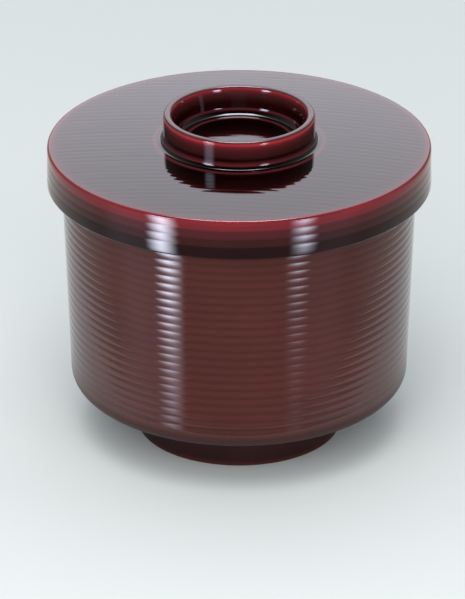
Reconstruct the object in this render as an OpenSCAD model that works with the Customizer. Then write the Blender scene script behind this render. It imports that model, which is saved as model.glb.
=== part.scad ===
// Small lidded soup bowl in turned lacquerware: a straight-sided bowl on a foot ring,
// under a cap lid with a ring knob. Both are turned about the Z axis.
// The origin is at the centre of the foot, on the table, with +Z up. Millimetres.

/* [Bowl] */
// Height of the rim above the table
rim_h = 74.6; // [66:0.1:90]
// Outside radius at the rim, over the ribs
rim_r = 44.7; // [42:0.1:50]
// Outside radius of the wall, carried down to the underside
base_r = 42.5; // [40:0.1:44]
// Radius of the outside corner between the wall and the underside
corner_r = 4.9; // [3:0.1:7]
// Thickness of the wall, without the inner coat
bowl_wall = 2.2; // [1.6:0.1:3]
// Thickness of the floor, without the inner coat
bowl_floor = 2.8; // [2:0.1:4]
// Radius of the inside corner between the wall and the floor
inner_corner_r = 9; // [6:0.5:12]
// Rounding of the rim's two edges
rim_edge_r = 0.7; // [0.3:0.1:0.9]

/* [Foot ring] */
// Height of the bowl's underside above the table
foot_h = 12.3; // [9:0.1:15]
// Outside radius of the ring on the table
foot_r = 25.8; // [22:0.1:30]
// How much wider the ring is at the bowl than on the table
foot_draft = 0.4; // [0:0.1:1]
// Thickness of the ring
foot_wall = 2.6; // [2:0.1:3.4]
// Depth of the recess inside the ring
foot_recess_depth = 11.5; // [8:0.1:12.2]
// Radius of the hollow corner where the ring meets the bowl
foot_root_r = 1.2; // [0.5:0.1:2]
// Radius of the hollow corner inside the recess
foot_recess_r = 2; // [1:0.1:3]
// Rounding of the ring's two edges on the table
foot_edge_r = 0.5; // [0.2:0.1:0.8]

/* [Ribs] */
// Distance from one groove to the next
rib_pitch = 2.15; // [1.6:0.05:3]
// Depth of the grooves between the bowl's ribs
rib_depth = 0.08; // [0.03:0.01:0.15]
// Depth of the grooves between the skirt's ribs
skirt_rib_depth = 0.05; // [0.02:0.01:0.12]
// Plain band between the bowl's rounded corner and its lowest rib
base_plain = 0.6; // [0.3:0.1:3]
// Plain band between the bowl's highest rib and its rim
rim_plain = 1; // [1:0.1:4]
// Plain band between the lid's rounded edge and the skirt's highest rib
skirt_top_plain = 0.7; // [0.2:0.1:1.5]
// Plain band along the bottom of the skirt
skirt_plain = 2; // [1:0.1:3]

/* [Lid] */
// Gap all round between the bowl's rim and the skirt
lid_clearance = 0.9; // [0.5:0.1:1.5]
// Thickness of the skirt, without the inner coat
skirt_wall = 2; // [1.6:0.1:2.6]
// How far the skirt hangs below the rim
skirt_drop = 7.3; // [5:0.1:10]
// How much wider the skirt is at its bottom than at its top
skirt_flare = 0.15; // [0:0.05:0.3]
// Rounding of the skirt's bottom edges
skirt_edge_r = 0.5; // [0.3:0.1:0.8]
// Thickness of the lid's plate at its edge, without the inner coat
lid_plate = 2.4; // [2:0.1:3.5]
// Rounding of the lid's top edge
lid_edge_r = 0.8; // [0.5:0.1:1.4]
// Rise of the lid's gentle dome from its edge to its middle
dome_rise = 1.2; // [0.4:0.1:2.5]

/* [Knob] */
// Outside radius of the ring knob
knob_r = 19; // [16:0.1:22]
// Height of the ring's lip above the lid at its root
knob_h = 7.2; // [5:0.1:9]
// Thickness of the ring at its lip
knob_lip = 2; // [1.6:0.1:2.6]
// Inside radius of the ring at its floor
knob_floor_r = 15.5; // [12.5:0.1:15.8]
// Depth of the recess inside the ring
knob_depth = 6.9; // [4.5:0.1:7.5]
// Rounding of the lip's two edges
knob_lip_r = 0.85; // [0.4:0.05:0.95]
// Radius of the hollow corner outside the ring
knob_root_r = 1.25; // [0.6:0.05:2]
// Radius of the hollow corner inside the ring
knob_recess_r = 2.2; // [1:0.1:3]

/* [Inner coat] */
// Thickness of the vermilion coat with its ground
coat_t = 0.4; // [0.3:0.05:0.6]
// Bare edge of the shell beyond the coat, at the rim and at the skirt
coat_edge = 1.2; // [0.9:0.1:2]
// Radius of the coat's hollow corner under the lid's plate
ceiling_corner_r = 0.8; // [0.4:0.1:0.8]

/* [Hidden] */
$fn = 180;

// Straight steps that stand for each rounded corner and for each rib
corner_steps = 6;
rib_steps = 6;
// Straight steps across the lid's dome, from the knob to the edge
dome_steps = 10;

tame_brown = [0.31, 0.13, 0.11];
tame_dark = [0.24, 0.10, 0.08];
vermilion = [0.76, 0.17, 0.08];

// The bowl's outer wall leans out evenly from the underside to the rim
wall_lean = (rim_r - base_r) / (rim_h - foot_h);
function wall_r(z) = base_r + wall_lean * (z - foot_h);

// The coat's face runs parallel to the outer wall, and the shell's lies behind the coat
function coat_face_r(z) = wall_r(z) - bowl_wall - coat_t;
coat_floor_z = foot_h + bowl_floor + coat_t;
coat_top_z = rim_h - coat_edge;

// The first crest lies above the rounded corner, which reaches higher on a wall that leans in,
// and whole ribs fill the wall from there
wall_angle = atan(wall_lean);
corner_reach = corner_r * cos(wall_angle) / tan((90 + wall_angle) / 2);
first_crest_z = foot_h + corner_reach + base_plain;
bowl_ribs = floor((rim_h - rim_plain - first_crest_z) / rib_pitch);

// The lid rests with its ceiling on the rim
lid_r = rim_r + lid_clearance + coat_t + skirt_wall;
lid_edge_z = rim_h + coat_t + lid_plate;
skirt_z = rim_h - skirt_drop;
skirt_lean = skirt_flare / (lid_edge_z - skirt_z);
function skirt_r(z) = lid_r + skirt_lean * (lid_edge_z - z);
skirt_in_r = rim_r + lid_clearance;
skirt_top_crest_z = lid_edge_z - lid_edge_r - skirt_top_plain;
skirt_ribs = floor((skirt_top_crest_z - skirt_z - skirt_plain) / rib_pitch);
skirt_coat_z = skirt_z + coat_edge;

// The lid's top is a shallow dome
function dome_z(r) = lid_edge_z + dome_rise * (1 - pow(r / lid_r, 2));
knob_root_z = dome_z(knob_r);
lip_z = knob_root_z + knob_h;
knob_floor_z = lip_z - knob_depth;
dome_step = (lid_r - knob_r) / dome_steps;

// Unit vector along v
function unit(v) = v / norm(v);

// Arc that rounds the corner b between a and c with radius r
function corner_arc(a, b, c, r) =
    let(
        u = unit(a - b),
        w = unit(c - b),
        half = acos(u * w) / 2,
        hub = b + unit(u + w) * r / sin(half),
        p = b + u * r / tan(half),
        q = b + w * r / tan(half),
        from = atan2(p.y - hub.y, p.x - hub.x),
        to = atan2(q.y - hub.y, q.x - hub.x),
        sweep = (to - from + 540) % 360 - 180
    )
    [
        for (i = [0:corner_steps])
            let(turn = from + sweep * i / corner_steps)
            hub + r * [cos(turn), sin(turn)]
    ];

// Outline through points [r, z, rounding]; the rounding may be left out
function rounded(path) = [
    for (i = [0:len(path) - 1])
        let(b = [path[i].x, path[i].y])
        each (len(path[i]) < 3)
            ? [b]
            : corner_arc([path[i - 1].x, path[i - 1].y], b, [path[i + 1].x, path[i + 1].y], path[i].z)
];

function reversed(list) = [for (i = [len(list) - 1:-1:0]) list[i]];

// Depth below the crests at t pitches from a crest, as a share of the full depth
function groove_share(t) = pow(2 * ((t + 0.5) % 1) - 1, 2);

// Ribbed stretch of the bowl's wall, from its lowest crest up
bowl_rib_line = [
    for (i = [0:bowl_ribs * rib_steps])
        let(t = i / rib_steps, z = first_crest_z + t * rib_pitch)
        [wall_r(z) - rib_depth * groove_share(t), z]
];

// Ribbed stretch of the skirt, from its highest crest down
skirt_rib_line = [
    for (i = [0:skirt_ribs * rib_steps])
        let(t = i / rib_steps, z = skirt_top_crest_z - t * rib_pitch)
        [skirt_r(z) - skirt_rib_depth * groove_share(t), z]
];

// Smooth dome of the lid's top between the knob's hollow corner and the lid's rounded edge
dome_line = [
    for (i = [1:dome_steps - 1])
        let(r = knob_r + dome_step * i)
        [r, dome_z(r)]
];

// Inner face of the bowl's shell, from the coat's top edge down to the axis
bowl_shell_face = rounded([
    [coat_face_r(coat_top_z) + coat_t, coat_top_z],
    [coat_face_r(coat_floor_z) + coat_t, coat_floor_z - coat_t, inner_corner_r + coat_t],
    [0, coat_floor_z - coat_t]
]);

// Face of the bowl's coat, along the same way
bowl_coat_face = rounded([
    [coat_face_r(coat_top_z), coat_top_z],
    [coat_face_r(coat_floor_z), coat_floor_z, inner_corner_r],
    [0, coat_floor_z]
]);

// Inner face of the lid's shell, from the coat's bottom edge up to the axis
lid_shell_face = rounded([
    [skirt_in_r + coat_t, skirt_coat_z],
    [skirt_in_r + coat_t, rim_h + coat_t, ceiling_corner_r + coat_t],
    [0, rim_h + coat_t]
]);

// Face of the lid's coat, along the same way
lid_coat_face = rounded([
    [skirt_in_r, skirt_coat_z],
    [skirt_in_r, rim_h, ceiling_corner_r],
    [0, rim_h]
]);

// Foot ring and underside, from the axis out to the wall
foot_line = rounded([
    [0, foot_recess_depth],
    [foot_r - foot_wall - foot_draft, foot_recess_depth, foot_recess_r],
    [foot_r - foot_wall, 0, foot_edge_r],
    [foot_r, 0, foot_edge_r],
    [foot_r + foot_draft, foot_h, foot_root_r],
    [base_r, foot_h, corner_r],
    bowl_rib_line[0]
]);

rim_line = rounded([
    bowl_rib_line[len(bowl_rib_line) - 1],
    [rim_r, rim_h, rim_edge_r],
    [coat_face_r(rim_h), rim_h, rim_edge_r],
    [coat_face_r(coat_top_z), coat_top_z]
]);

// Ring knob, from the axis out to the lid's top
knob_line = rounded([
    [0, knob_floor_z],
    [knob_floor_r, knob_floor_z, knob_recess_r],
    [knob_r - knob_lip, lip_z, knob_lip_r],
    [knob_r, lip_z, knob_lip_r],
    [knob_r, knob_root_z, knob_root_r],
    dome_line[0]
]);

lid_edge_line = rounded([
    dome_line[len(dome_line) - 1],
    [lid_r, lid_edge_z, lid_edge_r],
    skirt_rib_line[0]
]);

skirt_edge_line = rounded([
    skirt_rib_line[len(skirt_rib_line) - 1],
    [skirt_r(skirt_z), skirt_z, skirt_edge_r],
    [skirt_in_r, skirt_z, skirt_edge_r],
    [skirt_in_r, skirt_coat_z]
]);

// Solid turned about Z from half of its section
module turned(section) {
    rotate_extrude() polygon(section);
}

module bowl() {
    color(tame_brown)
        turned(concat(foot_line, bowl_rib_line, rim_line, bowl_shell_face));
}

module bowl_lining() {
    color(vermilion)
        turned(concat(bowl_coat_face, reversed(bowl_shell_face)));
}

module lid() {
    lid_top_line = concat(knob_line, dome_line, lid_edge_line);
    color(tame_dark)
        turned(concat(lid_top_line, skirt_rib_line, skirt_edge_line, lid_shell_face));
}

module lid_lining() {
    color(vermilion)
        turned(concat(lid_coat_face, reversed(lid_shell_face)));
}

bowl();
bowl_lining();
lid();
lid_lining();
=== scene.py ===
"""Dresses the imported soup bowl: turned lacquer pieces, a pale floor, soft studio light and the camera.

The bowl, its lid and their vermilion coats are turned from outlines with the same sizes as the
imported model's, in metres, and stand in its frame. Each new piece replaces the node that it is named
after and rides on that node's body.
"""

import logging
import math
from dataclasses import dataclass
from enum import Enum
from typing import Callable, Sequence

import bmesh
import bpy
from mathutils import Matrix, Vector, noise

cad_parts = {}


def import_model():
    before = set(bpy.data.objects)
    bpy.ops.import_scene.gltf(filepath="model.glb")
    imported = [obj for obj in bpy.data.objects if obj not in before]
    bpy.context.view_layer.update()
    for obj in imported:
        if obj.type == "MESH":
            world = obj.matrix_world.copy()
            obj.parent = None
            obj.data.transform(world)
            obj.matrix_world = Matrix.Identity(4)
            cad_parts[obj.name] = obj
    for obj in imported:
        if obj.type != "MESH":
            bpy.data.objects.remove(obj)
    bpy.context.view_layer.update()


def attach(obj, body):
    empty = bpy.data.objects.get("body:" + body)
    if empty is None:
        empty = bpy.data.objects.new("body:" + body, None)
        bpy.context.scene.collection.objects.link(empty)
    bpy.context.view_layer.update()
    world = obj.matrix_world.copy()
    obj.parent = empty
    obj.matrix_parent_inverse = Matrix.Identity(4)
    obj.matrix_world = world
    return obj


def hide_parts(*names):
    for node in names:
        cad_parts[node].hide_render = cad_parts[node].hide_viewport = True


log = logging.getLogger("soup_bowl")

Shape = bmesh.types.BMesh
Socket = bpy.types.NodeSocket
Span = tuple[float, float]
Triple = tuple[float, float, float]
Levels = Sequence[Span]
Tints = Sequence[tuple[float, Triple]]
ThinnessAndPaintedLight = Callable[[float, float], float]

MM = 0.001
LACQUER = "lacquer"
COAT_AROUND = 144
STRIP_TINT = (0.98, 1.0, 1.22)


class Body(Enum):
    """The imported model's bodies that pieces ride on."""

    BOWL = "bowl"
    LID = "lid"


class Slot(Enum):
    """The record's material slots."""

    TAME = "tame_lacquer"
    TAME_LID = "tame_lacquer_lid"
    VERMILION = "vermilion_lacquer"


@dataclass(frozen=True)
class Corner:
    """One corner of an outline, in millimetres, with the radius of its rounding."""

    r: float
    z: float
    rounding: float = 0.0

    def at(self) -> Vector:
        """Place of the corner in the plane of the outline, in metres."""
        return Vector((self.r, 0.0, self.z)) * MM


@dataclass(frozen=True)
class Ribs:
    """A stretch of an outline that carries equal ribs with sharp grooves between them.

    It runs from the corner numbered first to the next. Its grooves go in towards the axis, and
    depth is in millimetres.
    """

    first: int
    count: int
    depth: float
    steps: int = 8


def groove_share(turns: float) -> float:
    """Share of a groove's full depth at a distance from a crest, which is counted in ribs."""
    return (2.0 * ((turns + 0.5) % 1.0) - 1.0) ** 2


def between(value: float, table: Levels) -> float:
    """Reads a table of (place, level) pairs, straight between them and level beyond them.

    Args:
        value: Place to read the table at.
        table: Pairs in rising order of place.

    Returns:
        The level there.
    """
    if value <= table[0][0]:
        return table[0][1]
    for (low, low_level), (high, high_level) in zip(table, table[1:]):
        if value <= high:
            share = (value - low) / (high - low)
            return low_level + (high_level - low_level) * share
    return table[-1][1]


def link(name: str, data: bpy.types.ID) -> bpy.types.Object:
    """Puts data into the scene as an object.

    Args:
        name: Name of the object.
        data: Its mesh, lamp or camera.

    Returns:
        The object.
    """
    item = bpy.data.objects.new(name, data)
    bpy.context.scene.collection.objects.link(item)
    return item


def mesh_of(name: str, shape: Shape) -> bpy.types.Mesh:
    """Makes a mesh of a finished shape.

    Args:
        name: Name of the mesh.
        shape: The shape, which is freed.

    Returns:
        The mesh.
    """
    mesh = bpy.data.meshes.new(name)
    shape.to_mesh(mesh)
    shape.free()
    return mesh


@dataclass(frozen=True)
class Combing:
    """Fine grooves that run side by side across a dome, slightly bent, from a comb or a brush.

    inner and outer are the radii between which the dome is combed, and dome gives its height at a
    radius, all in millimetres. slant and bend tell how far a line drops towards the front at the
    side: slant times x plus bend times x squared. The grains are noise frequencies along x and y,
    with a place in the noise: one noise sways the lines and the other sets their strength.
    """

    inner: float
    outer: float
    dome: Callable[[float], float]
    pitch: float = 2.17
    depth: float = 0.014
    slant: float = 0.095
    bend: float = 0.00155
    start: float = 0.0
    cuts: int = 6
    border: float = 0.5
    sway: float = 0.3
    sway_grain: Triple = (0.05, 0.4, 3.0)
    strength_grain: Triple = (0.03, 0.5, 9.0)
    strengths: Levels = ((-0.4, 0.25), (0.4, 1.0))
    snap: float = 0.01

    def _bent(self, x: float) -> float:
        """How far the lines have dropped at a distance to the side, in millimetres."""
        return self.slant * x + self.bend * x * x

    def _on_dome(self, place: Vector) -> bool:
        """Tells whether a place lies on the combed dome.

        Args:
            place: The place, in metres.

        Returns:
            True if it does.
        """
        radius = math.hypot(place.x, place.y) / MM
        return (self.inner - self.snap < radius < self.outer + self.snap
                and abs(place.z / MM - self.dome(radius)) < self.snap * 2)

    def _height(self, x: float, y: float) -> float:
        """Height of the combed dome.

        Args:
            x: Distance to the right, in millimetres.
            y: Distance to the back, in millimetres.

        Returns:
            The height there, in millimetres.
        """

        def grain(scales: Triple) -> float:
            """Noise at this place, stretched by a grain."""
            return noise.noise(Vector((x * scales[0], y * scales[1], scales[2])))

        radius = math.hypot(x, y)
        line = (y + self._bent(x) - self.start) / self.pitch
        line += self.sway * grain(self.sway_grain)
        share = 0.5 - 0.5 * math.cos(math.tau * line)
        strength = between(grain(self.strength_grain), self.strengths)
        edge = between(min(radius - self.inner, self.outer - radius), ((0.0, 0.0), (self.border, 1.0)))
        return self.dome(radius) - self.depth * share * strength * edge

    def cut(self, shape: Shape) -> None:
        """Cuts the dome's faces along the lines and sets their points to the combed height.

        Args:
            shape: The turned mesh.
        """
        faces = [face for face in shape.faces if all(self._on_dome(vert.co) for vert in face.verts)]
        for vert in shape.verts:
            vert.co.y += self._bent(vert.co.x / MM) * MM
        reach = self.outer + self._bent(self.outer)
        count = math.ceil(reach / self.pitch * self.cuts)
        levels = [self.start + index * self.pitch / self.cuts for index in range(-count, count + 1)]
        self._split(shape, faces, levels)
        for vert in shape.verts:
            vert.co.y -= self._bent(vert.co.x / MM) * MM
        for vert in shape.verts:
            if self._on_dome(vert.co):
                vert.co.z = self._height(vert.co.x / MM, vert.co.y / MM) * MM

    def _split(self, shape: Shape, faces: Sequence[bmesh.types.BMFace], levels: Sequence[float]) -> None:
        """Cuts faces at the middle level, and then each side at the levels on it.

        Args:
            shape: The mesh.
            faces: Faces to cut.
            levels: Distances to the back to cut at, in millimetres, in rising order.
        """
        if not faces or not levels:
            return
        middle = len(levels) // 2
        level = levels[middle] * MM
        edges = {edge for face in faces for edge in face.edges}
        verts = {vert for face in faces for vert in face.verts}
        cut = bmesh.ops.bisect_plane(shape, geom=[*verts, *edges, *faces], dist=self.snap * MM,
                                     plane_co=(0.0, level, 0.0), plane_no=(0.0, 1.0, 0.0))
        parts = [item for item in cut["geom"] if isinstance(item, bmesh.types.BMFace)]
        near = [face for face in parts if face.calc_center_median().y < level]
        far = [face for face in parts if face.calc_center_median().y >= level]
        self._split(shape, near, levels[:middle])
        self._split(shape, far, levels[middle + 1:])


@dataclass(frozen=True)
class Outline:
    """Half of a turned piece's section, from corner to corner, and how finely it is turned."""

    corners: tuple[Corner, ...]
    ribs: tuple[Ribs, ...] = ()
    combings: tuple[Combing, ...] = ()
    step: float = 1.2
    around: int = 160
    arc_steps: int = 8
    merge: float = 0.0005
    sharp_degrees: float = 50.0

    def turn(self, name: str, thinness_and_painted_light: ThinnessAndPaintedLight) -> bpy.types.Object:
        """Turns the outline about Z into a closed mesh.

        Args:
            name: Name of the new object.
            thinness_and_painted_light: Gives the lacquer's level at a radius and a height in millimetres:
                how thin it lies, with painted shade and painted reflections set in on some pieces.

        Returns:
            The object, linked to the scene, with that level in its lacquer attribute.
        """
        shape = bmesh.new()
        verts = [shape.verts.new(corner.at()) for corner in self.corners]
        for pair in zip(verts, verts[1:]):
            shape.edges.new(pair)
        for ribs in self.ribs:
            self._rib(shape, ribs)
        for index, corner in enumerate(self.corners):
            if corner.rounding:
                self._round(shape, index)
        self._divide(shape)
        bmesh.ops.spin(shape, geom=shape.verts[:] + shape.edges[:], cent=(0, 0, 0), axis=(0, 0, 1),
                       angle=math.tau, steps=self.around, use_merge=True, use_duplicate=False)
        bmesh.ops.remove_doubles(shape, verts=shape.verts, dist=self.merge * MM)
        bmesh.ops.recalc_face_normals(shape, faces=shape.faces)
        for combing in self.combings:
            combing.cut(shape)
        layer = shape.verts.layers.float.new(LACQUER)
        for vert in shape.verts:
            radius = math.hypot(vert.co.x, vert.co.y) / MM
            vert[layer] = thinness_and_painted_light(radius, vert.co.z / MM)
        piece = link(name, mesh_of(name, shape))
        piece.data.shade_smooth()
        piece.data.set_sharp_from_angle(angle=math.radians(self.sharp_degrees))
        return piece

    @staticmethod
    def _nearest(shape: Shape, place: Vector) -> bmesh.types.BMVert:
        """Point of the outline that lies nearest to a place."""
        return min(shape.verts, key=lambda item: (item.co - place).length)

    def _rib(self, shape: Shape, ribs: Ribs) -> None:
        """Cuts one straight stretch into steps and pushes its points in to the ribs.

        Args:
            shape: The outline so far.
            ribs: What the stretch carries.
        """
        origin, end = (corner.at() for corner in self.corners[ribs.first:ribs.first + 2])
        edge = shape.edges.get((self._nearest(shape, origin), self._nearest(shape, end)))
        length = edge.calc_length()
        cut = bmesh.ops.subdivide_edges(shape, edges=[edge], cuts=ribs.count * ribs.steps - 1)
        for vert in [item for item in cut["geom_inner"] if isinstance(item, bmesh.types.BMVert)]:
            turns = (vert.co - origin).length / length * ribs.count
            vert.co -= Vector((ribs.depth * groove_share(turns) * MM, 0.0, 0.0))

    def _round(self, shape: Shape, index: int) -> None:
        """Rounds one corner of the outline.

        Args:
            shape: The outline so far.
            index: Number of the corner.
        """
        corner = self.corners[index]
        place = corner.at()
        before = self.corners[index - 1].at() - place
        after = self.corners[index + 1].at() - place
        half = before.angle(after) / 2
        vert = self._nearest(shape, place)
        bmesh.ops.bevel(shape, geom=[vert], offset=corner.rounding * MM / math.tan(half),
                        offset_type="OFFSET", segments=self.arc_steps, profile=0.5, affect="VERTICES",
                        material=-1, clamp_overlap=False)

    def _divide(self, shape: Shape) -> None:
        """Cuts the long straight stretches, so that the shading stays even beside each rounding.

        Args:
            shape: The outline so far.
        """
        for edge in list(shape.edges):
            cuts = math.ceil(edge.calc_length() / (self.step * MM)) - 1
            if cuts > 0:
                bmesh.ops.subdivide_edges(shape, edges=[edge], cuts=cuts)


class NodeBuilder:
    """Adds nodes and links to one node tree."""

    def __init__(self, tree: bpy.types.NodeTree) -> None:
        """Starts on a tree, which may be a material's, a world's or a group's."""
        self.tree = tree

    def add(self, kind: str, *values: object, **settings: object) -> bpy.types.Node:
        """Adds a node.

        Args:
            kind: Blender's name of the node type, after ShaderNode.
            *values: Its first inputs, plain values or outputs of other nodes.
            **settings: Properties to set on it.

        Returns:
            The node.
        """
        node = self.tree.nodes.new(f"ShaderNode{kind}")
        for key, value in settings.items():
            setattr(node, key, value)
        for socket, value in zip(node.inputs, values):
            self.feed(socket, value)
        return node

    def feed(self, socket: Socket, value: object) -> None:
        """Links an output to an input, or sets the input to a plain value.

        Args:
            socket: The input.
            value: The output or the value.
        """
        if isinstance(value, Socket):
            self.tree.links.new(value, socket)
        else:
            socket.default_value = value

    def math(self, operation: str, *values: object) -> Socket:
        """Adds a Math node for an operation on some values, and gives its output."""
        return self.add("Math", *values, operation=operation).outputs[0]

    def fade(self, value: object, low: float, high: float, bottom: float = 0.0, top: float = 1.0) -> Socket:
        """Adds a smooth step.

        Args:
            value: What is compared with the limits.
            low: Where the step starts.
            high: Where it ends.
            bottom: Result below the step.
            top: Result above it.

        Returns:
            The step's output.
        """
        node = self.add("MapRange", value, low, high, bottom, top, interpolation_type="SMOOTHSTEP")
        return node.outputs[0]

    def window(self, value: object, low: float, high: float, soft: float) -> Socket:
        """Adds a band that is 1 between two limits, with soft sides.

        Args:
            value: What is compared with the limits.
            low: Lower limit.
            high: Upper limit.
            soft: Width of each side.

        Returns:
            The band's output.
        """
        rise = self.fade(value, low - soft / 2, low + soft / 2)
        fall = self.fade(value, high - soft / 2, high + soft / 2, 1.0, 0.0)
        return self.math("MULTIPLY", rise, fall)

    def tinted(self, level: object, tint: Sequence[float]) -> Socket:
        """Adds a plain tint at a level.

        Args:
            level: How strong the tint is.
            tint: The colour at level 1.

        Returns:
            The colour.
        """
        node = self.add("VectorMath", tint, operation="SCALE")
        self.feed(node.inputs["Scale"], level)
        return node.outputs[0]

    def total(self, *colours: object) -> Socket:
        """Adds up colours.

        Args:
            *colours: Outputs of other nodes.

        Returns:
            Their sum.
        """
        result, *others = colours
        for colour in others:
            result = self.add("VectorMath", result, colour, operation="ADD").outputs[0]
        return result

    def place(self, kind: str) -> Socket:
        """Adds texture coordinates of a kind, such as Object."""
        return self.add("TexCoord").outputs[kind]

    def split(self, vector: object) -> bpy.types.NodeOutputs:
        """Parts a vector into x, y and z."""
        return self.add("SeparateXYZ", vector).outputs

    def noise(self, place: object, scale: object, detail: float, dimensions: str = "3D") -> Socket:
        """Adds a cloudy noise.

        Args:
            place: Where it is read.
            scale: How fine it is.
            detail: How many finer layers it has.
            dimensions: 2D or 3D.

        Returns:
            Its level, from 0 to 1.
        """
        node = self.add("TexNoise", noise_dimensions=dimensions)
        for label, value in (("Vector", place), ("Scale", scale), ("Detail", detail)):
            self.feed(node.inputs[label], value)
        return node.outputs["Fac"]

    def ramp(self, place: object, tints: Tints) -> Socket:
        """Adds a colour ramp.

        Args:
            place: Where it is read, from 0 to 1.
            tints: Place and colour of each stop, in rising order.

        Returns:
            The colour.
        """
        node = self.add("ValToRGB", place)
        stops = node.color_ramp.elements
        while len(stops) < len(tints):
            stops.new(1.0)
        for stop, (position, tint) in zip(stops, tints):
            stop.position = position
            stop.color = (*tint, 1.0)
        return node.outputs[0]

    def surface(self, shader: Socket) -> None:
        """Makes a shader the surface of the material."""
        self.feed(self.tree.nodes["Material Output"].inputs["Surface"], shader)

    def mix(self, share: object, low: object, high: object) -> Socket:
        """Adds a Mix node for colours.

        Args:
            share: Share of the second colour.
            low: First colour.
            high: Second colour.

        Returns:
            The mixed colour.
        """
        node = self.add("Mix", data_type="RGBA")
        self.feed(node.inputs["Factor"], share)
        self.feed(node.inputs[6], low)
        self.feed(node.inputs[7], high)
        return node.outputs[2]


def new_material(name: str) -> tuple[bpy.types.Material, NodeBuilder]:
    """Starts a material.

    Args:
        name: Its name.

    Returns:
        The material and a builder on its nodes.
    """
    material = bpy.data.materials.new(name)
    material.use_nodes = True
    return material, NodeBuilder(material.node_tree)


def group(name: str, inputs: Sequence[tuple[str, float]], outputs: Sequence[str]) -> NodeBuilder:
    """Starts a shader node group that the finishes share. All its sockets are plain numbers.

    Args:
        name: Name of the group.
        inputs: Name and default value of each input.
        outputs: Name of each output.

    Returns:
        A builder on the group's tree, which has its input and output nodes.
    """
    tree = bpy.data.node_groups.new(name, "ShaderNodeTree")
    for label, value in inputs:
        socket = tree.interface.new_socket(label, in_out="INPUT", socket_type="NodeSocketFloat")
        socket.default_value = value
    for label in outputs:
        tree.interface.new_socket(label, in_out="OUTPUT", socket_type="NodeSocketFloat")
    tree.nodes.new("NodeGroupInput").name = "in"
    tree.nodes.new("NodeGroupOutput").name = "out"
    return NodeBuilder(tree)


class SharedEffects:
    """The node groups that more than one finish uses, each built once."""

    MARK_DETAIL = 3.0
    WAVE_DETAIL = 1.0
    WAVE_SPAN = (0.25, 0.75)
    WEAKEST_MARKS = 0.4
    HAZE_DETAIL = 4.0
    HAZE_SPAN = (0.3, 0.7)

    def __init__(self) -> None:
        """Builds the groups."""
        self.marks = self._marks()
        self.haze = self._haze()

    def _marks(self) -> bpy.types.NodeTree:
        """Builds the fine marks of turning and polishing, which run round the axis.

        Returns:
            A group that puts out their height, from 0 to 1.
        """
        build = group("turning_marks", [("Fineness", 4000.0), ("Waviness", 40.0)], ["Height"])
        source = build.tree.nodes["in"].outputs
        place = build.place("Object")
        x, y, z = build.split(place)
        squares = (build.math("POWER", side, 2.0) for side in (x, y))
        across = build.add("CombineXYZ", build.math("SQRT", build.math("ADD", *squares)), z).outputs[0]
        fine = build.noise(across, source["Fineness"], self.MARK_DETAIL, "2D")
        wave = build.noise(place, source["Waviness"], self.WAVE_DETAIL)
        strength = build.fade(wave, *self.WAVE_SPAN, self.WEAKEST_MARKS, 1.0)
        build.feed(build.tree.nodes["out"].inputs["Height"], build.math("MULTIPLY", fine, strength))
        return build.tree

    def _haze(self) -> bpy.types.NodeTree:
        """Builds the slow unevenness of a hand-polished lacquer.

        Returns:
            A group that puts out a roughness and a mask from 0 to 1.
        """
        levels = [("Scale", 60.0), ("Clear", 0.06), ("Dull", 0.1)]
        build = group("polish_haze", levels, ["Roughness", "Mask"])
        source = build.tree.nodes["in"].outputs
        cloud = build.noise(build.place("Object"), source["Scale"], self.HAZE_DETAIL)
        mask = build.fade(cloud, *self.HAZE_SPAN)
        span = build.math("SUBTRACT", source["Dull"], source["Clear"])
        rough = build.math("ADD", source["Clear"], build.math("MULTIPLY", span, mask))
        build.feed(build.tree.nodes["out"].inputs["Roughness"], rough)
        build.feed(build.tree.nodes["out"].inputs["Mask"], mask)
        return build.tree


@dataclass(frozen=True)
class LacquerFinish:
    """A lacquer whose colour follows how thin it lies, from pooled to worn thin, and the painted shade and
    painted reflections that some pieces set into the same level.
    """

    name: str
    tints: Tints
    clear: float = 0.035
    dull: float = 0.06
    unevenness: float = 0.04
    mark_height: float = 0.0004
    ior: float = 1.5

    def make(self, effects: SharedEffects) -> bpy.types.Material:
        """Builds the material.

        Args:
            effects: The shared node groups.

        Returns:
            The material.
        """
        material, build = new_material(self.name)
        shader = material.node_tree.nodes["Principled BSDF"].inputs
        haze = build.add("Group", node_tree=effects.haze)
        build.feed(haze.inputs["Clear"], self.clear)
        build.feed(haze.inputs["Dull"], self.dull)
        build.feed(shader["Roughness"], haze.outputs["Roughness"])
        level = build.add("Attribute", attribute_name=LACQUER).outputs["Fac"]
        cloud = build.math("SUBTRACT", haze.outputs["Mask"], 0.5)
        uneven = build.math("ADD", level, build.math("MULTIPLY", cloud, self.unevenness))
        build.feed(shader["Base Color"], build.ramp(uneven, self.tints))
        marks = build.add("Group", node_tree=effects.marks)
        bump = build.add("Bump", 1.0, self.mark_height * MM)
        build.feed(bump.inputs["Height"], marks.outputs["Height"])
        build.feed(shader["Normal"], bump.outputs[0])
        build.feed(shader["IOR"], self.ior)
        return material


TAME_TINTS = (
    (0.0, (0.0012, 0.0004, 0.0003)),
    (0.25, (0.0120, 0.0040, 0.0035)),
    (0.5, (0.0640, 0.0160, 0.0132)),
    (0.75, (0.1600, 0.0240, 0.0260)),
    (1.0, (0.3400, 0.0320, 0.0360)),
)
LID_TINTS = (
    (0.0, (0.0008, 0.0001, 0.0001)),
    (0.15, (0.0100, 0.0010, 0.0010)),
    (0.3, (0.0300, 0.0060, 0.0060)),
    (0.5, (0.0600, 0.0095, 0.0125)),
    (0.7, (0.1250, 0.0115, 0.0155)),
    (1.0, (0.4400, 0.0360, 0.0380)),
)
VERMILION_TINTS = (
    (0.0, (0.34, 0.016, 0.005)),
    (0.5, (0.54, 0.026, 0.008)),
    (1.0, (0.62, 0.040, 0.014)),
)


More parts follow.
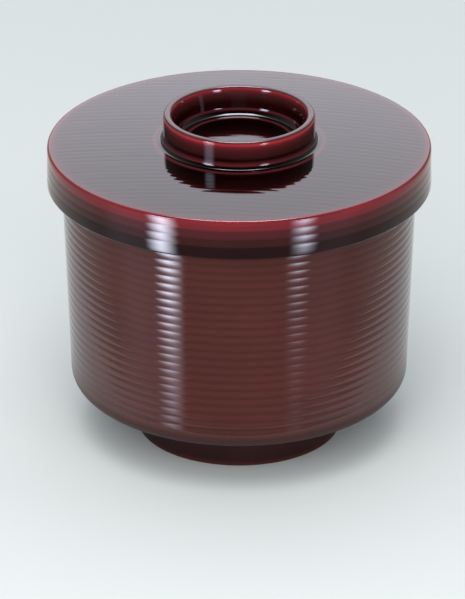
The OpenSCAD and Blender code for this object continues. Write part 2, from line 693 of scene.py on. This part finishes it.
@dataclass(frozen=True)
class BowlSizes:
    """Sizes of the bowl, in millimetres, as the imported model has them."""

    rim_h: float = 74.6
    rim_r: float = 44.7
    base_r: float = 42.5
    corner_r: float = 4.9
    wall: float = 2.2
    floor: float = 2.8
    inner_corner_r: float = 9.0
    rim_edge_r: float = 0.7
    foot_h: float = 12.3
    foot_r: float = 25.8
    foot_draft: float = 0.4
    foot_wall: float = 2.6
    foot_recess_depth: float = 11.5
    foot_root_r: float = 1.2
    foot_recess_r: float = 2.0
    foot_edge_r: float = 0.5
    rib_pitch: float = 2.15
    rib_depth: float = 0.08
    base_plain: float = 0.6
    rim_plain: float = 1.0
    coat: float = 0.4
    coat_edge: float = 1.2

    @property
    def lean(self) -> float:
        """How far the wall leans out for each millimetre of height."""
        return (self.rim_r - self.base_r) / (self.rim_h - self.foot_h)

    def wall_r(self, z: float) -> float:
        """Outside radius of the wall at a height."""
        return self.base_r + self.lean * (z - self.foot_h)

    def coat_face_r(self, z: float) -> float:
        """Radius of the inner coat's face at a height."""
        return self.wall_r(z) - self.wall - self.coat

    @property
    def first_crest_z(self) -> float:
        """Height of the lowest crest, just above the rounding of the wall's foot.

        Returns:
            The height, in millimetres.
        """
        angle = math.atan(self.lean)
        reach = self.corner_r * math.cos(angle) / math.tan((math.pi / 2 + angle) / 2)
        return self.foot_h + reach + self.base_plain

    @property
    def ribs(self) -> int:
        """Number of whole ribs on the wall."""
        return math.floor((self.rim_h - self.rim_plain - self.first_crest_z) / self.rib_pitch)

    @property
    def last_crest_z(self) -> float:
        """Height of the highest crest."""
        return self.first_crest_z + self.ribs * self.rib_pitch

    @property
    def coat_floor_z(self) -> float:
        """Height of the coat's face on the floor."""
        return self.foot_h + self.floor + self.coat

    @property
    def coat_top_z(self) -> float:
        """Height of the coat's top edge."""
        return self.rim_h - self.coat_edge

    def face(self, under: float) -> tuple[Corner, ...]:
        """Inner face, from the coat's top edge down to the axis.

        Args:
            under: 0 for the face of the coat, or the coat's thickness for the shell's face under it.

        Returns:
            The face's corners.
        """
        floor_z = self.coat_floor_z
        return (
            Corner(self.coat_face_r(self.coat_top_z) + under, self.coat_top_z),
            Corner(self.coat_face_r(floor_z) + under, floor_z - under, self.inner_corner_r + under),
            Corner(0.0, floor_z - under),
        )


@dataclass(frozen=True)
class LidSizes:
    """Sizes of the lid, in millimetres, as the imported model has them."""

    clearance: float = 0.9
    skirt_wall: float = 2.0
    skirt_drop: float = 7.3
    skirt_flare: float = 0.15
    skirt_edge_r: float = 0.5
    skirt_top_plain: float = 0.7
    skirt_plain: float = 2.0
    skirt_rib_depth: float = 0.05
    plate: float = 2.4
    edge_r: float = 0.8
    dome_rise: float = 1.2
    dome_steps: int = 10
    knob_r: float = 19.0
    knob_h: float = 7.2
    knob_lip: float = 2.0
    knob_floor_r: float = 15.5
    knob_depth: float = 6.9
    knob_lip_r: float = 0.85
    knob_root_r: float = 1.25
    knob_recess_r: float = 2.2
    ceiling_corner_r: float = 0.8
    bowl: BowlSizes = BowlSizes()

    @property
    def r(self) -> float:
        """Outside radius of the lid at its top edge."""
        return self.bowl.rim_r + self.clearance + self.bowl.coat + self.skirt_wall

    @property
    def edge_z(self) -> float:
        """Height of the lid's top edge."""
        return self.bowl.rim_h + self.bowl.coat + self.plate

    @property
    def skirt_z(self) -> float:
        """Height of the skirt's bottom."""
        return self.bowl.rim_h - self.skirt_drop

    def skirt_r(self, z: float) -> float:
        """Outside radius of the skirt at a height."""
        return self.r + self.skirt_flare / (self.edge_z - self.skirt_z) * (self.edge_z - z)

    @property
    def skirt_in_r(self) -> float:
        """Inside radius of the skirt, on its coat."""
        return self.bowl.rim_r + self.clearance

    @property
    def skirt_top_crest_z(self) -> float:
        """Height of the skirt's highest crest."""
        return self.edge_z - self.edge_r - self.skirt_top_plain

    @property
    def skirt_ribs(self) -> int:
        """Number of whole ribs on the skirt."""
        return math.floor((self.skirt_top_crest_z - self.skirt_z - self.skirt_plain) / self.bowl.rib_pitch)

    @property
    def skirt_low_crest_z(self) -> float:
        """Height of the skirt's lowest crest."""
        return self.skirt_top_crest_z - self.skirt_ribs * self.bowl.rib_pitch

    def dome_z(self, r: float) -> float:
        """Height of the lid's top at a radius."""
        return self.edge_z + self.dome_rise * (1 - (r / self.r) ** 2)

    @property
    def root_z(self) -> float:
        """Height of the lid's top at the knob."""
        return self.dome_z(self.knob_r)

    @property
    def lip_z(self) -> float:
        """Height of the knob's lip."""
        return self.root_z + self.knob_h

    @property
    def knob_floor_z(self) -> float:
        """Height of the floor inside the knob."""
        return self.lip_z - self.knob_depth

    def dome(self) -> tuple[Corner, ...]:
        """Points of the dome between the ring round the knob and the edge.

        Returns:
            The points, from the inside out.
        """
        step = (self.r - self.knob_r) / self.dome_steps
        radii = (self.knob_r + step * index for index in range(2, self.dome_steps))
        return tuple(Corner(radius, self.dome_z(radius)) for radius in radii)

    def face(self, under: float) -> tuple[Corner, ...]:
        """Inner face, from the coat's bottom edge up to the axis.

        Args:
            under: 0 for the face of the coat, or the coat's thickness for the shell's face under it.

        Returns:
            The face's corners.
        """
        return (
            Corner(self.skirt_in_r + under, self.skirt_z + self.bowl.coat_edge),
            Corner(self.skirt_in_r + under, self.bowl.rim_h + under, self.ceiling_corner_r + under),
            Corner(0.0, self.bowl.rim_h + under),
        )


@dataclass(frozen=True)
class TurnedPiece:
    """A piece of the ware: the node that it replaces, and its body, slot and finish."""

    node: str
    body: Body
    slot: Slot
    finish: bpy.types.Material

    def build(self, outline: Outline, thinness_and_painted_light: ThinnessAndPaintedLight) -> None:
        """Turns and dresses the piece, sets it on its body and lets it replace its node.

        Args:
            outline: The piece's section.
            thinness_and_painted_light: Gives the lacquer's level at a radius and a height in millimetres:
                how thin it lies, with painted shade and painted reflections set in on some pieces.
        """
        piece = outline.turn(f"{self.node}_turned", thinness_and_painted_light)
        piece.data.materials.append(self.finish)
        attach(piece, self.body.value)
        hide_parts(self.node)
        faces = len(piece.data.polygons)
        log.info("%s: %d faces, %s, on %s", piece.name, faces, self.finish.name, self.body.value)


def coat_outline(sizes: BowlSizes | LidSizes, coat: float) -> Outline:
    """Section of a coat of a thickness, from the axis on its own face back to the axis on the shell."""
    return Outline((*reversed(sizes.face(0.0)), *sizes.face(coat)), around=COAT_AROUND)


@dataclass
class Bowl:
    """The ribbed bowl with its rim and foot ring, and the coat inside it."""

    sizes: BowlSizes
    # Painted shade: the wall's level drops on the underside and the lower rounding, towards the floor;
    # above that it is the lacquer's own level.
    wall_levels_with_painted_shade: Levels = ((12.0, 0.22), (15.5, 0.4), (20.0, 0.48), (30.0, 0.5), (60.0, 0.49), (74.0, 0.5))
    # The foot's wall is darker than the bowl's wall as painted shade under the bowl; its red bottom edge is
    # thin lacquer.
    foot_levels_with_painted_shade: Levels = ((0.0, 0.52), (0.5, 0.44), (1.2, 0.3), (12.0, 0.38))
    groove_loss: float = 0.08
    rim_level: float = 0.9
    recess_level: float = 0.45
    coat_levels: Levels = ((16.0, 0.35), (26.0, 0.5), (73.0, 0.6))

    def outline(self) -> Outline:
        """Works out the section of the shell.

        Returns:
            The section, from the axis under the bowl round to the axis inside it.
        """
        s = self.sizes
        lowest = Corner(s.wall_r(s.first_crest_z), s.first_crest_z)
        highest = Corner(s.wall_r(s.last_crest_z), s.last_crest_z)
        corners = (
            Corner(0.0, s.foot_recess_depth),
            Corner(s.foot_r - s.foot_wall - s.foot_draft, s.foot_recess_depth, s.foot_recess_r),
            Corner(s.foot_r - s.foot_wall, 0.0, s.foot_edge_r),
            Corner(s.foot_r, 0.0, s.foot_edge_r),
            Corner(s.foot_r + s.foot_draft, s.foot_h, s.foot_root_r),
            Corner(s.base_r, s.foot_h, s.corner_r),
            lowest,
            highest,
            Corner(s.rim_r, s.rim_h, s.rim_edge_r),
            Corner(s.coat_face_r(s.rim_h), s.rim_h, s.rim_edge_r),
            Corner(s.coat_face_r(s.coat_top_z), s.coat_top_z),
            *s.face(s.coat),
        )
        return Outline(corners, (Ribs(corners.index(lowest), s.ribs, s.rib_depth),))

    def thinness_and_painted_light(self, r: float, z: float) -> float:
        """How thin the outer lacquer lies, with painted shade that darkens the foot, the underside and the
        wall's lower rounding.

        Args:
            r: Radius in millimetres.
            z: Height in millimetres.

        Returns:
            0 where it has pooled, to 1 where it is thinnest; painted shade lowers it on the foot and near
            the floor.
        """
        s = self.sizes
        if r < s.foot_r - s.foot_wall and z < s.foot_h:
            return self.recess_level
        # The foot: painted shade on its wall, thin lacquer red at its bottom edge.
        if r < s.foot_r + s.foot_draft + s.foot_root_r / 2 and z < s.foot_h:
            return between(z, self.foot_levels_with_painted_shade)
        if z > s.rim_h - s.rim_edge_r:
            return self.rim_level
        level = between(z, self.wall_levels_with_painted_shade)
        if s.first_crest_z < z < s.last_crest_z:
            level -= self.groove_loss * groove_share((z - s.first_crest_z) / s.rib_pitch)
        return level

    def build(self, finishes: "Finishes") -> None:
        """Turns and dresses the shell and the coat.

        Args:
            finishes: The lacquers.
        """
        TurnedPiece("bowl", Body.BOWL, Slot.TAME, finishes.tame).build(self.outline(), self.thinness_and_painted_light)
        lining = TurnedPiece("bowl_lining", Body.BOWL, Slot.VERMILION, finishes.vermilion)
        outline = coat_outline(self.sizes, self.sizes.coat)
        lining.build(outline, lambda r, z: between(z, self.coat_levels))


@dataclass
class Lid:
    """The cap lid with its ribbed skirt, combed top and ring knob, and the coat under it.

    The first ring_corners places of top_levels_with_painted_reflection are corners of the outline too, and
    so are those of
    floor_levels_with_painted_reflection, so that the red rings there have sharp edges. Both rings are
    painted reflections:
    each is a red band of the knob's walls as mirrored in the glossy face at its foot.
    """

    sizes: LidSizes
    skirt_levels: tuple[float, ...] = (0.69, 0.44, 0.27, 0.12)
    # The red ring near 21 mm is painted reflection: the knob's red band as mirrored in the glossy top. The
    # red rise at the edge is thin lacquer.
    top_levels_with_painted_reflection: Levels = (
        (20.4, 0.02), (20.8, 0.5), (21.4, 0.5), (22.0, 0.02), (40.0, 0.03), (45.8, 0.2), (46.9, 0.42),
        (47.2, 0.62), (47.8, 0.72),
    )
    ring_corners: int = 4
    # The red ring near 13 mm is painted reflection: the recess wall's red band as mirrored in the knob's
    # floor.
    floor_levels_with_painted_reflection: Levels = ((12.5, 0.02), (12.9, 0.5), (13.4, 0.5), (13.8, 0.02))
    floor_snap: float = 0.069
    floor_comb_depth: float = 0.007
    floor_comb_start: float = 0.6
    knob_levels: Levels = (
        (79.0, 0.0), (79.45, 0.6), (79.75, 0.5), (80.0, 0.05), (80.7, 0.12), (81.4, 0.3), (82.5, 0.34),
        (83.6, 0.5), (84.3, 0.68), (84.8, 0.84), (85.15, 0.78), (85.35, 0.55), (85.5, 0.34),
    )
    recess_levels: Levels = (
        (78.9, 0.02), (79.6, 0.0), (79.9, 0.5), (80.2, 0.5), (80.5, 0.03), (81.3, 0.1), (82.4, 0.2),
        (83.5, 0.3), (84.1, 0.44), (84.6, 0.72), (85.15, 0.76), (85.35, 0.55), (85.5, 0.34),
    )
    band_fade: float = 0.15
    coat_levels: Levels = ((0.0, 0.5), (40.0, 0.5), (46.0, 0.4))
    around: int = 192

    def outline(self) -> Outline:
        """Works out the section of the shell.

        Returns:
            The section, from the axis in the knob round to the axis under the lid.
        """
        s = self.sizes
        top_crest = Corner(s.skirt_r(s.skirt_top_crest_z), s.skirt_top_crest_z)
        low_crest = Corner(s.skirt_r(s.skirt_low_crest_z), s.skirt_low_crest_z)
        floor_z = s.knob_floor_z
        corners = (
            Corner(0.0, floor_z),
            *(Corner(place, floor_z) for place, _ in self.floor_levels_with_painted_reflection[:-1]),
            Corner(s.knob_floor_r, floor_z, s.knob_recess_r),
            Corner(s.knob_r - s.knob_lip, s.lip_z, s.knob_lip_r),
            Corner(s.knob_r, s.lip_z, s.knob_lip_r),
            Corner(s.knob_r, s.root_z, s.knob_root_r),
            *(Corner(place, s.dome_z(place)) for place, _ in self.top_levels_with_painted_reflection[:self.ring_corners]),
            *s.dome(),
            Corner(s.r, s.edge_z, s.edge_r),
            top_crest,
            low_crest,
            Corner(s.skirt_r(s.skirt_z), s.skirt_z, s.skirt_edge_r),
            Corner(s.skirt_in_r, s.skirt_z, s.skirt_edge_r),
            Corner(s.skirt_in_r, s.skirt_z + s.bowl.coat_edge),
            *s.face(s.bowl.coat),
        )
        ribs = Ribs(corners.index(top_crest), s.skirt_ribs, s.skirt_rib_depth)
        floor_combing = Combing(
            -1.0, s.knob_floor_r - s.knob_recess_r, lambda radius: floor_z,
            depth=self.floor_comb_depth, start=self.floor_comb_start,
        )
        top_combing = Combing(s.knob_r + s.knob_root_r, s.r - s.edge_r, s.dome_z)
        return Outline(corners, (ribs,), (top_combing, floor_combing), around=self.around)

    def thinness_and_painted_light(self, r: float, z: float) -> float:
        """How thin the outer lacquer lies, with the two red rings of painted reflection on the top and the
        knob's floor.

        Args:
            r: Radius in millimetres.
            z: Height in millimetres.

        Returns:
            0 where it has pooled, to 1 where it is thinnest; the painted reflections take a middle level.
        """
        s = self.sizes
        plate_top = s.bowl.rim_h + s.plate
        if r < self.floor_levels_with_painted_reflection[-1][0] and plate_top < z < s.knob_floor_z + self.floor_snap:
            return between(r, self.floor_levels_with_painted_reflection)
        if r < s.knob_r - s.knob_lip / 2 and z > s.root_z - s.dome_rise:
            return between(z, self.recess_levels)
        if z > s.root_z + s.knob_root_r / 4:
            return between(z, self.knob_levels)
        if r > s.skirt_in_r + s.bowl.coat and z < s.edge_z - s.edge_r:
            return self._skirt_level(z)
        if r > s.knob_r and z > s.bowl.rim_h + s.plate / 2:
            return between(r, self.top_levels_with_painted_reflection)
        return self.skirt_levels[-1]

    def _skirt_level(self, z: float) -> float:
        """Level of the skirt's band at a height; the grooves part the bands.

        Args:
            z: Height in millimetres.

        Returns:
            The level there.
        """
        s = self.sizes
        place = s.skirt_top_crest_z - s.bowl.rib_pitch / 2
        table: list[Span] = []
        for above, below in zip(self.skirt_levels, self.skirt_levels[1:]):
            table += [(place + self.band_fade, above), (place - self.band_fade, below)]
            place -= s.bowl.rib_pitch
        return between(z, list(reversed(table)))

    def build(self, finishes: "Finishes") -> None:
        """Turns and dresses the shell and the coat.

        Args:
            finishes: The lacquers.
        """
        TurnedPiece("lid", Body.LID, Slot.TAME_LID, finishes.tame_lid).build(self.outline(), self.thinness_and_painted_light)
        lining = TurnedPiece("lid_lining", Body.LID, Slot.VERMILION, finishes.vermilion)
        outline = coat_outline(self.sizes, self.sizes.bowl.coat)
        lining.build(outline, lambda r, z: between(r, self.coat_levels))


class Finishes:
    """The lacquers, built once."""

    def __init__(self, effects: SharedEffects) -> None:
        """Builds the materials.

        Args:
            effects: The shared node groups.
        """
        self.tame = LacquerFinish("tame", TAME_TINTS).make(effects)
        self.tame_lid = LacquerFinish("tame_lid", LID_TINTS).make(effects)
        self.vermilion = LacquerFinish("vermilion", VERMILION_TINTS, clear=0.16, dull=0.24).make(effects)


class Sky:
    """The world's nodes, with the direction in which a ray meets the world."""

    def __init__(self, build: NodeBuilder) -> None:
        """Works the direction out: its parts to the right, back and up, and its angles in degrees.

        Args:
            build: Builder on the world's nodes.
        """
        self.build = build
        self.x, self.y, self.z = build.split(build.place("Generated"))
        ahead = build.math("MULTIPLY", self.y, -1.0)
        self.azimuth = build.math("DEGREES", build.math("ARCTAN2", self.x, ahead))
        self.height = build.math("DEGREES", build.math("ARCSINE", self.z))


@dataclass(frozen=True)
class Strip:
    """A tall soft light in front, as the gloss shows it. Angles in degrees, left negative."""

    azimuth: float
    width: float
    low: float
    high: float
    radiance: float
    fade: float = 12.0
    end_fade: float = 4.0

    def paint(self, sky: Sky) -> Socket:
        """Paints the strip.

        Args:
            sky: The world to paint.

        Returns:
            The strip's light.
        """
        build = sky.build
        half = self.width / 2
        column = build.window(sky.azimuth, self.azimuth - half, self.azimuth + half, self.fade)
        row = build.window(sky.height, self.low, self.high, self.end_fade)
        lit = build.math("MULTIPLY", row, self.radiance)
        return build.tinted(build.math("MULTIPLY", column, lit), STRIP_TINT)


@dataclass(frozen=True)
class Overhead:
    """The wide soft box overhead, as the gloss shows it.

    Its sizes are shares of its height above the object. It starts just in front and grows wider
    to the back, where it is dimmer.
    """

    near_radiance: float = 20.0
    far_radiance: float = 1.72
    dimming: Span = (0.08, 0.5)
    tint: Triple = (1.04, 1.0, 1.12)
    half_width: float = 0.2
    spread: float = 0.36
    side_fade: float = 0.4
    front: Span = (-0.03, 0.05)
    back: Span = (3.2, 6.0)
    lowest: Span = (0.02, 0.1)

    def paint(self, sky: Sky) -> Socket:
        """Paints the box.

        Args:
            sky: The world to paint.

        Returns:
            The box's light.
        """
        build = sky.build
        up = build.math("MAXIMUM", sky.z, self.lowest[0])
        depth = build.math("DIVIDE", sky.y, up)
        wider = build.math("MULTIPLY", build.math("MAXIMUM", depth, 0.0), self.spread)
        reach = build.math("ADD", wider, self.half_width)
        aslant = build.math("DIVIDE", build.math("DIVIDE", sky.x, up), reach)
        sides = build.window(aslant, -1.0, 1.0, self.side_fade)
        across = build.math("MULTIPLY", sides, build.fade(sky.z, *self.lowest))
        end = build.fade(depth, *self.back, 1.0, 0.0)
        along = build.math("MULTIPLY", build.fade(depth, *self.front), end)
        glow = build.fade(depth, *self.dimming, self.near_radiance, self.far_radiance)
        box = build.math("MULTIPLY", build.math("MULTIPLY", across, along), glow)
        return build.tinted(box, self.tint)


@dataclass(frozen=True)
class Room:
    """The room and the floor beyond the near disc, as the gloss shows them. Angles in degrees."""

    floor_ahead: float = 0.22
    floor_behind: float = 0.75
    floor_turn: Span = (50.0, 160.0)
    air_ahead: float = 0.03
    air_behind: float = 0.3
    air_turn: Span = (55.0, 130.0)
    horizon: Span = (-3.0, 4.0)
    tint: Triple = (1.0, 0.98, 0.95)

    def paint(self, sky: Sky) -> Socket:
        """Paints the room.

        Args:
            sky: The world to paint.

        Returns:
            The room's light.
        """
        build = sky.build
        aside = build.math("ABSOLUTE", sky.azimuth)
        ground = build.fade(aside, *self.floor_turn, self.floor_ahead, self.floor_behind)
        air = build.fade(aside, *self.air_turn, self.air_ahead, self.air_behind)
        rise = build.fade(sky.height, *self.horizon)
        below = build.math("MULTIPLY", ground, build.math("SUBTRACT", 1.0, rise))
        return build.tinted(build.math("ADD", below, build.math("MULTIPLY", air, rise)), self.tint)


@dataclass(frozen=True)
class Card:
    """A softly edged light card that stands in front of the object, in millimetres.

    Only the gloss shows it. Its face turns towards the axis of the object. width is measured
    where its light has faded to a half, and levels gives its radiance at each height.
    """

    name: str
    x: float
    y: float
    width: float
    levels: Levels
    side_fade: float = 38.0

    def build(self) -> None:
        """Stands the card up."""
        low, high = self.levels[0][0], self.levels[-1][0]
        reach = (self.width + self.side_fade) / 2
        shape = bmesh.new()
        for side, end in ((-reach, low), (reach, low), (reach, high), (-reach, high)):
            shape.verts.new(Vector((side, 0.0, end)) * MM)
        bmesh.ops.contextual_create(shape, geom=shape.verts[:])
        stand = link(self.name, mesh_of(self.name, shape))
        stand.data.materials.append(self._material(low, high))
        stand.location = Vector((self.x, self.y, 0.0)) * MM
        stand.rotation_euler.z = math.atan2(self.x, -self.y)
        stand.visible_camera = False
        stand.visible_diffuse = False
        stand.visible_shadow = False

    def _material(self, low: float, high: float) -> bpy.types.Material:
        """Builds the card's light, which adds to what the gloss shows behind it.

        Args:
            low: Height of the card's bottom, in millimetres.
            high: Height of its top.

        Returns:
            The material.
        """
        material, build = new_material(self.name)
        build.tree.nodes.remove(build.tree.nodes["Principled BSDF"])
        x, _, z = build.split(build.place("Object"))
        half = self.width / 2
        across = build.window(x, -half * MM, half * MM, self.side_fade * MM)
        peak = max(level for _, level in self.levels)
        stops = [((height - low) / (high - low), (level / peak,) * 3) for height, level in self.levels]
        rise = build.math("DIVIDE", build.math("SUBTRACT", z, low * MM), (high - low) * MM)
        lit = build.math("MULTIPLY", across, build.ramp(rise, stops))
        light = build.add("Emission", build.tinted(lit, STRIP_TINT), peak)
        clear = build.add("BsdfTransparent")
        build.surface(build.add("AddShader", light.outputs[0], clear.outputs[0]).outputs[0])
        return material


@dataclass(frozen=True)
class Lamp:
    """A soft lamp, in millimetres and watts. The gloss shows what the world paints in its place."""

    name: str
    place: Triple
    size: Span
    watts: float

    def build(self, height: float) -> None:
        """Hangs the lamp, aimed at the object's axis.

        Args:
            height: Height on the axis that it is aimed at, in millimetres.
        """
        data = bpy.data.lights.new(self.name, "AREA")
        data.shape = "RECTANGLE"
        data.size, data.size_y = (side * MM for side in self.size)
        data.energy = self.watts
        lamp = link(self.name, data)
        lamp.location = Vector(self.place) * MM
        aim = Vector((0.0, 0.0, height)) * MM - lamp.location
        lamp.rotation_euler = aim.to_track_quat("-Z", "Y").to_euler()
        lamp.visible_glossy = False
        lamp.visible_camera = False


@dataclass(frozen=True)
class Floor:
    """The pale floor: a disc under the object, which its gloss shows, and a wide ring round it.

    In the gloss the floor carries painted shade close to the foot: its reflection is darkened between the
    two radii of the painted shade, all in millimetres.
    """

    tint: Triple = (0.575, 0.586, 0.570)
    cloud_scale: float = 3.0
    cloud_detail: float = 2.0
    cloud_share: float = 0.97
    roughness: float = 0.6
    painted_shade_share: float = 0.4
    painted_shade_radii: Span = (46.0, 74.0)
    near: float = 125.0
    near_back: float = 60.0
    far: float = 4000.0
    segments: int = 128

    def build(self) -> None:
        """Lays the disc and the ring."""
        material = self._material()
        for name, inner, outer in (("floor_near", 0.0, self.near), ("floor_far", self.near, self.far)):
            shape = bmesh.new()
            bmesh.ops.create_circle(shape, cap_ends=not inner, segments=self.segments, radius=outer * MM)
            if inner:
                bmesh.ops.create_circle(shape, cap_ends=False, segments=self.segments, radius=inner * MM)
                bmesh.ops.bridge_loops(shape, edges=shape.edges[:])
            bmesh.ops.recalc_face_normals(shape, faces=shape.faces)
            for face in shape.faces:
                if face.normal.z < 0:
                    face.normal_flip()
            floor = link(name, mesh_of(name, shape))
            floor.data.materials.append(material)
            floor.location.y = self.near_back * MM
            floor.visible_glossy = not inner

    def _material(self) -> bpy.types.Material:
        """Builds the floor's matt material, which lets a view from below through.

        Returns:
            The material.
        """
        material, build = new_material("pale_floor")
        shader = build.tree.nodes["Principled BSDF"]
        cloud = build.noise(build.place("Object"), self.cloud_scale, self.cloud_detail)
        low = (*(part * self.cloud_share for part in self.tint), 1.0)
        uneven = build.mix(cloud, low, (*self.tint, 1.0))
        # Painted shade: for gloss rays only, the floor's colour is darkened close to the foot, as a contact
        # shadow seen in reflections.
        place = build.add("NewGeometry").outputs
        away = build.add("VectorMath", place["Position"], operation="LENGTH")
        start, end = (radius * MM for radius in self.painted_shade_radii)
        under = build.fade(away.outputs["Value"], start, end, 1.0 - self.painted_shade_share, 0.0)
        share = build.math("MULTIPLY", build.add("LightPath").outputs["Is Glossy Ray"], under)
        build.feed(shader.inputs["Base Color"], build.mix(share, uneven, (0.0, 0.0, 0.0, 1.0)))
        build.feed(shader.inputs["Roughness"], self.roughness)
        build.feed(shader.inputs["Specular IOR Level"], 0.0)
        clear = build.add("BsdfTransparent")
        joined = build.add("MixShader", place["Backfacing"], shader.outputs[0], clear.outputs[0])
        build.surface(joined.outputs[0])
        return material


@dataclass(frozen=True)
class Studio:
    """The floor, the soft light and the camera."""

    strips: tuple[Strip, ...] = (
        Strip(-46.0, 13.0, 5.0, 13.0, 24.0, fade=8.0),
        Strip(-46.0, 13.0, 13.0, 29.0, 10.0, fade=8.0),
        Strip(37.5, 11.0, 5.0, 13.0, 24.0, fade=8.0),
        Strip(-66.0, 34.0, -50.0, 0.0, 0.3, fade=20.0),
        Strip(58.0, 26.0, -50.0, 0.0, 0.16, fade=20.0),
    )
    cards: tuple[Card, ...] = (
        Card("card_left", -129.0, -148.0, 30.0, (
            (-140.0, 1.0), (-60.0, 2.0), (-35.0, 3.8), (-18.0, 8.5), (-2.0, 16.0), (20.0, 19.5),
            (45.0, 21.0), (62.0, 0.0),
        )),
        Card("card_right", 121.0, -177.0, 28.0, (
            (-140.0, 0.1), (-60.0, 0.25), (-30.0, 0.8), (-10.0, 3.2), (5.0, 7.0), (20.0, 12.0),
            (45.0, 16.5), (62.0, 0.0),
        )),
    )
    lamps: tuple[Lamp, ...] = (
        Lamp("overhead", (-60.0, 380.0, 1250.0), (1300.0, 1200.0), 5.5),
        Lamp("key", (-60.0, -400.0, 880.0), (500.0, 500.0), 4.0),
        Lamp("front", (-80.0, -950.0, 600.0), (700.0, 600.0), 6.5),
        Lamp("strip_left", (-800.0, -760.0, 230.0), (360.0, 800.0), 2.4),
        Lamp("strip_right", (740.0, -800.0, 230.0), (260.0, 800.0), 2.4),
    )
    ambient: Triple = (0.56, 0.634, 0.698)
    sky_tint: Triple = (0.74, 0.76, 0.78)
    focal_px: float = 5022.0
    image_long: int = 599
    sensor: float = 36.0
    clips: Span = (0.05, 50.0)
    elevation: float = 24.93
    distance: float = 1270.0
    target: Triple = (-1.659, -2.201, 35.264)
    orbit: float = 40.0

    def build(self) -> None:
        """Sets up the whole studio."""
        self._world()
        Floor().build()
        for lamp in self.lamps:
            lamp.build(self.orbit)
        for card in self.cards:
            card.build()
        self._camera()
        bpy.context.scene.view_settings.view_transform = "Standard"

    def _world(self) -> None:
        """Paints what the gloss reflects, and a plain pale light for everything else."""
        world = bpy.data.worlds.new("studio")
        bpy.context.scene.world = world
        world.use_nodes = True
        world.cycles.sampling_method = "NONE"
        build = NodeBuilder(world.node_tree)
        sky = Sky(build)
        glossy = build.total(*(part.paint(sky) for part in (Room(), Overhead(), *self.strips)))
        path = build.add("LightPath").outputs
        matte = build.mix(path["Is Camera Ray"], (*self.ambient, 1.0), (*self.sky_tint, 1.0))
        light = build.mix(path["Is Glossy Ray"], matte, glossy)
        build.feed(world.node_tree.nodes["Background"].inputs["Color"], light)

    def _camera(self) -> None:
        """Sets the camera at the photograph's angle, with its long side as the sensor's."""
        data = bpy.data.cameras.new("camera")
        data.sensor_width = self.sensor
        data.lens = self.focal_px / self.image_long * self.sensor
        data.clip_start, data.clip_end = self.clips
        camera = link("camera", data)
        tilt = math.radians(self.elevation)
        away = Vector((0.0, -math.cos(tilt), math.sin(tilt))) * self.distance
        camera.location = (Vector((0.0, 0.0, self.orbit)) + away) * MM
        aim = Vector(self.target) * MM - camera.location
        camera.rotation_euler = aim.to_track_quat("-Z", "Y").to_euler()
        bpy.context.scene.camera = camera


def main() -> None:
    """Builds the bowl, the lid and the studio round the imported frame."""
    logging.basicConfig(level=logging.INFO, format="%(name)s: %(message)s")
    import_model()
    finishes = Finishes(SharedEffects())
    Bowl(BowlSizes()).build(finishes)
    Lid(LidSizes()).build(finishes)
    Studio().build()


if __name__ == "__main__":
    main()
